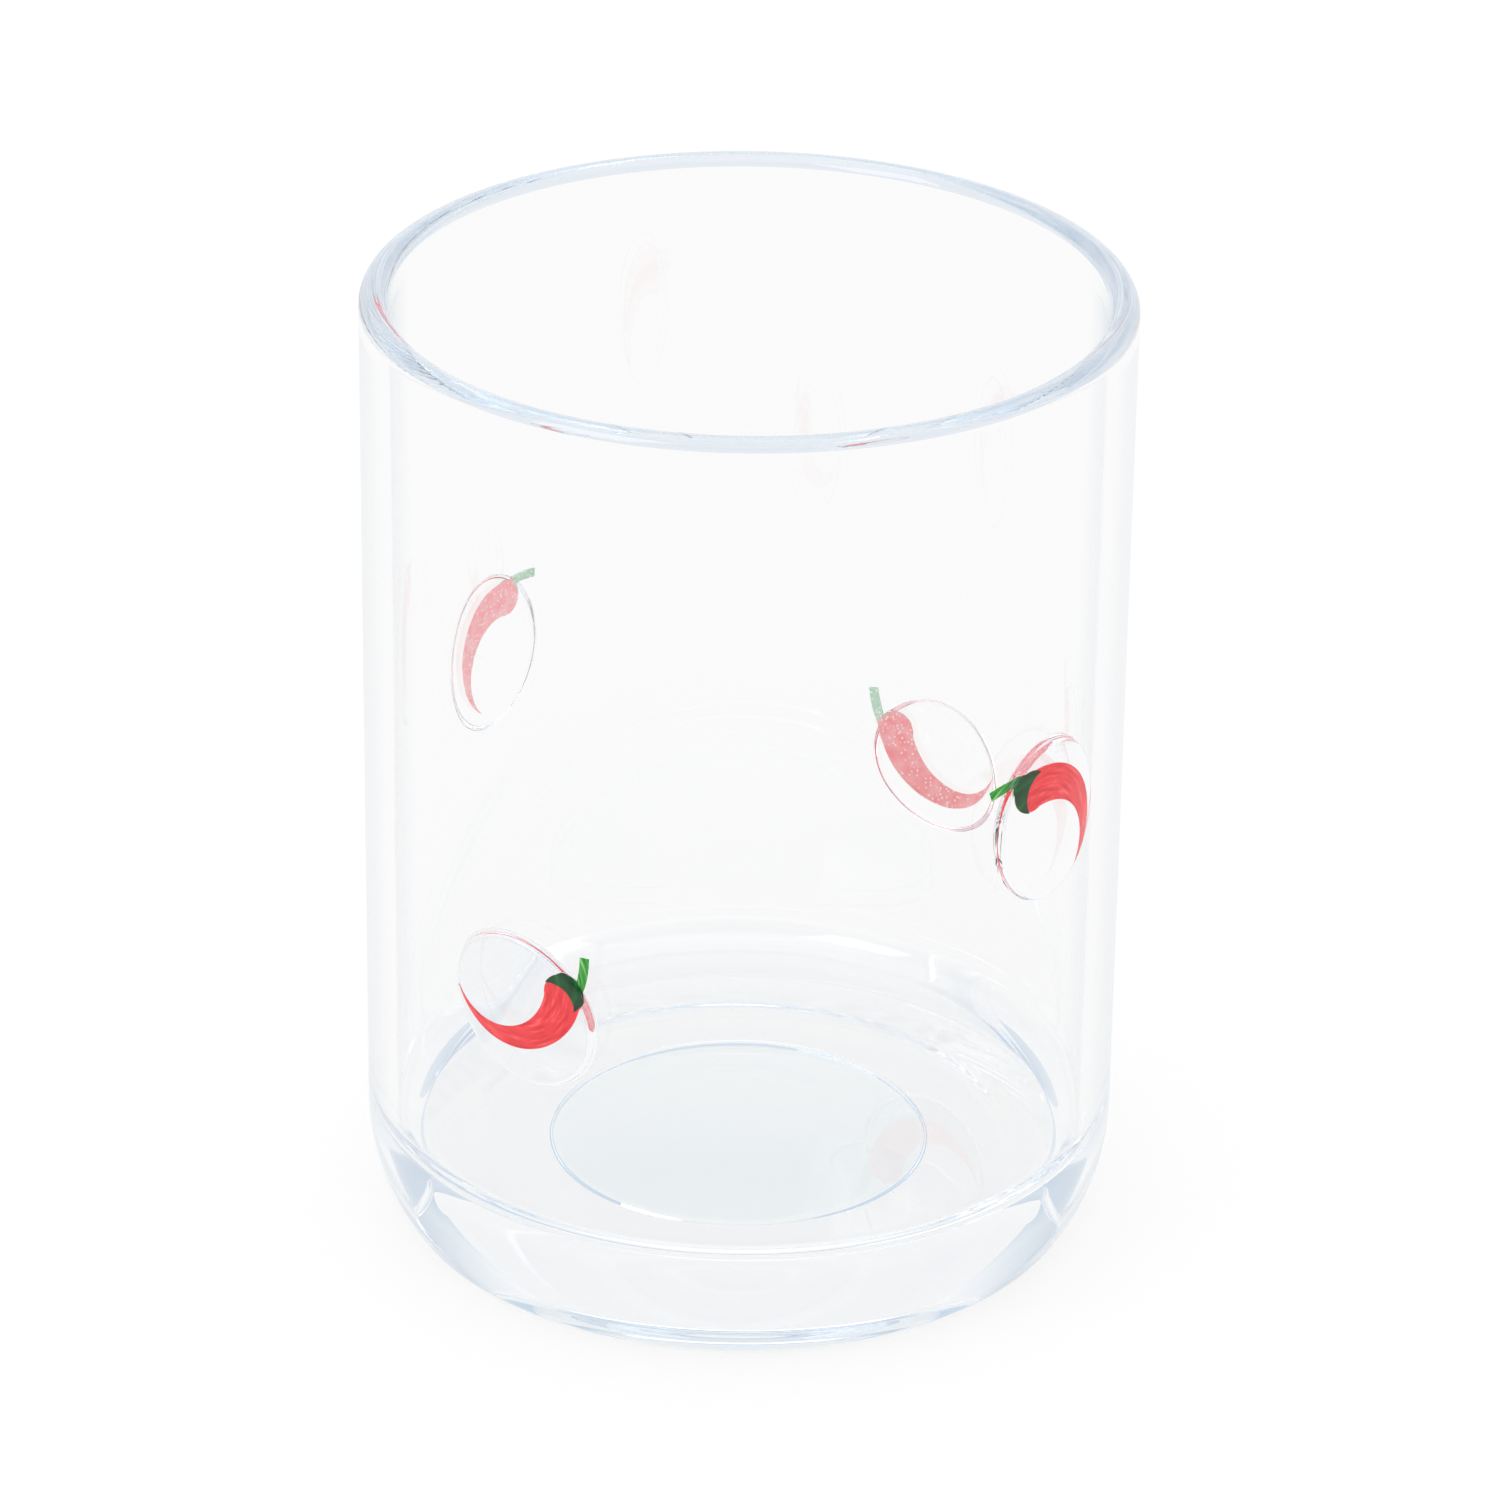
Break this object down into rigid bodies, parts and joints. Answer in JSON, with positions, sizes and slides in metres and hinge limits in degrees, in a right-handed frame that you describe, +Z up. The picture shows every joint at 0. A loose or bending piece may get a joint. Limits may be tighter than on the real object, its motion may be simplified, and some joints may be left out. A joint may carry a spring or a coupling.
{
  "type": "tumbler",
  "caption": "Straight clear glass tumbler with a rounded lip and thick base, its wall set with clear domed glass gems over printed chili peppers.",
  "frame": {"origin": "middle of the foot, on the table plane", "axes": "+Z up along the glass's axis; -Y is the side that faces the viewer of the picture; +X is to that viewer's right"},
  "size_m": [0.08, 0.08, 0.1048],
  "materials": {
    "clear_glass": "fire-polished clear soda-lime glass",
    "gem_glass": "clear domed glass fused to the wall",
    "pale_backing": "matt pale enamel print",
    "red_enamel": "gloss enamel print",
    "dark_green_enamel": "gloss enamel print",
    "light_green_enamel": "gloss enamel print"
  },
  "bodies": {
    "root": {"tumbler_body": "clear_glass", "gem_front_left": "gem_glass", "backing_front_left": "pale_backing", "pepper_front_left": "red_enamel", "calyx_front_left": "dark_green_enamel", "stem_front_left": "light_green_enamel", "gem_front_right": "gem_glass", "backing_front_right": "pale_backing", "pepper_front_right": "red_enamel", "calyx_front_right": "dark_green_enamel", "stem_front_right": "light_green_enamel", "gem_back_right": "gem_glass", "backing_back_right": "pale_backing", "pepper_back_right": "red_enamel", "calyx_back_right": "dark_green_enamel", "stem_back_right": "light_green_enamel", "gem_back_left": "gem_glass", "backing_back_left": "pale_backing", "pepper_back_left": "red_enamel", "calyx_back_left": "dark_green_enamel", "stem_back_left": "light_green_enamel"}
  },
  "joints": []
}
